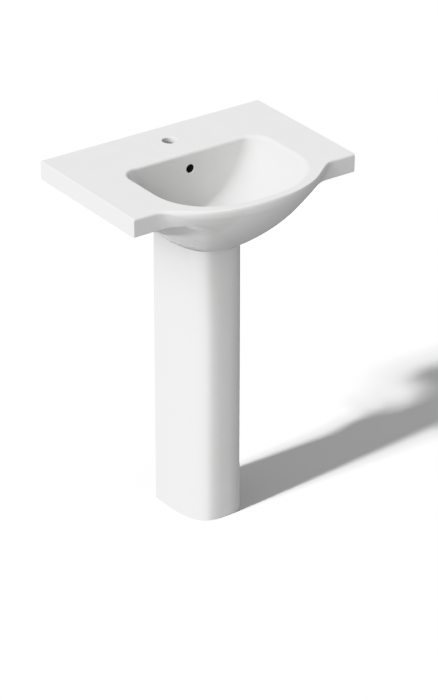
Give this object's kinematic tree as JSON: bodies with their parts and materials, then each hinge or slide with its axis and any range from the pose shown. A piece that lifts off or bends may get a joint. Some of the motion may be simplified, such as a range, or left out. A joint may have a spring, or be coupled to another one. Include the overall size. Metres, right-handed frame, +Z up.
{
  "type": "pedestal sink",
  "caption": "White china pedestal sink with a bowed front, wide flat wings and a press-top drain, with its trap and wall fixings.",
  "frame": {"origin": "on the floor, under the drain, at the middle of the footprint from the front of the bow to the ends of the wall bolts", "axes": "+Z up; +Y towards the wall that the sink hangs on; +X to the right for someone facing that wall"},
  "size_m": [0.61, 0.53, 0.9],
  "materials": {
    "china": "glossy white glaze, bare and matt on the pedestal's foot",
    "chrome": "bright polished plating",
    "brass": "plain turned brass",
    "steel": "zinc-plated or stainless, satin",
    "rubber": "matt black rubber",
    "nylon": "natural white nylon"
  },
  "bodies": {
    "sink": {"basin": "china", "pedestal": "china", "bearing_pads": "rubber", "drain_body": "chrome", "flange_seal": "rubber", "tapered_gasket": "rubber", "friction_washer": "nylon", "drain_locknut": "brass", "tailpiece": "chrome", "latch_cartridge": "brass", "latch_spring": "steel", "cartridge_screw": "steel", "trap_inlet_nut": "chrome", "trap_inlet_washer": "rubber", "trap_bend": "chrome", "trap_outlet_nut": "chrome", "trap_outlet_washer": "rubber", "trap_arm": "chrome", "cleanout_plug": "chrome", "cleanout_washer": "rubber", "wall_bolts": "steel", "cushion_washers": "rubber", "steel_washers": "steel", "wall_nuts": "steel"},
    "stopper": {"stopper_cap": "chrome", "stopper_seal": "rubber", "stopper_plunger": "brass"}
  },
  "joints": [
    {"name": "stopper_press", "type": "slide", "parent": "sink", "child": "stopper", "axis": [0, 0, -1], "range_m": [0, 0.009], "stiffness_N_per_m": 150, "springref_m": -0.02, "deforming": ["latch_spring"]}
  ]
}
